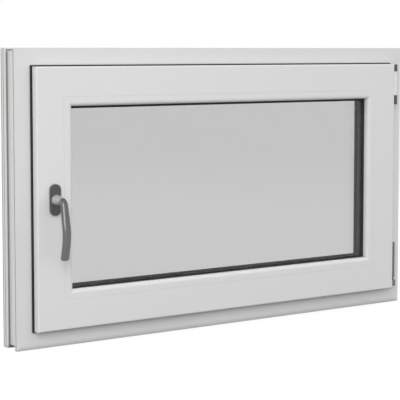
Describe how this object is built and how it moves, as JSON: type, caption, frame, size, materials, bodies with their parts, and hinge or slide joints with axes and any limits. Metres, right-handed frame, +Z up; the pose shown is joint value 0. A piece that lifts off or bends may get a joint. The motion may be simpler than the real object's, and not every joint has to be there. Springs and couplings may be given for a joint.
{
  "type": "pvc window",
  "caption": "White PVC window with one inward-opening sash in a frame, double glazing in black seals, a lever handle at the left and hinges at the right.",
  "frame": {"origin": "on the flat under the weather-side foot of the sill, half way along the window", "axes": "+X along the sill to the hinge side, +Y out to the weather side, +Z up"},
  "size_m": [1, 0.1439, 0.6],
  "materials": {
    "white_pvc": "satin white",
    "clear_glass": "clear float glass",
    "spacer": "dark grey matt",
    "black_seal": "black matt",
    "rosette_grey": "dark grey satin",
    "satin_metal": "satin",
    "hinge_grey": "dark grey satin",
    "hinge_white": "gloss white",
    "pin_steel": "bright zinc",
    "hood_white": "satin white"
  },
  "bodies": {
    "window": {"frame_left_jamb": "white_pvc", "frame_right_jamb": "white_pvc", "frame_sill": "white_pvc", "frame_head": "white_pvc", "sash_left_stile": "white_pvc", "sash_right_stile": "white_pvc", "sash_bottom_rail": "white_pvc", "sash_top_rail": "white_pvc", "bead_left": "white_pvc", "bead_right": "white_pvc", "bead_bottom": "white_pvc", "bead_top": "white_pvc", "inner_pane": "clear_glass", "outer_pane": "clear_glass", "spacer_bar": "spacer", "inner_glazing_seal": "black_seal", "outer_glazing_seal": "black_seal", "lap_seal": "black_seal", "stop_seal": "black_seal", "handle_rosette": "rosette_grey", "upper_hinge_bearing": "hinge_grey", "lower_hinge_bearing": "hinge_grey", "lower_hinge_barrel": "hinge_grey", "upper_hinge_barrel": "hinge_white", "upper_hinge_pin": "pin_steel", "lower_hinge_pin": "pin_steel", "drain_hood_left": "hood_white", "drain_hood_right": "hood_white"},
    "handle": {"handle_lever": "satin_metal"}
  },
  "joints": [
    {"name": "handle_turn", "type": "hinge", "parent": "window", "child": "handle", "pos_m": [-0.425, -0.0812, 0.3], "axis": [0, -1, 0], "range_deg": [0, 180]}
  ]
}
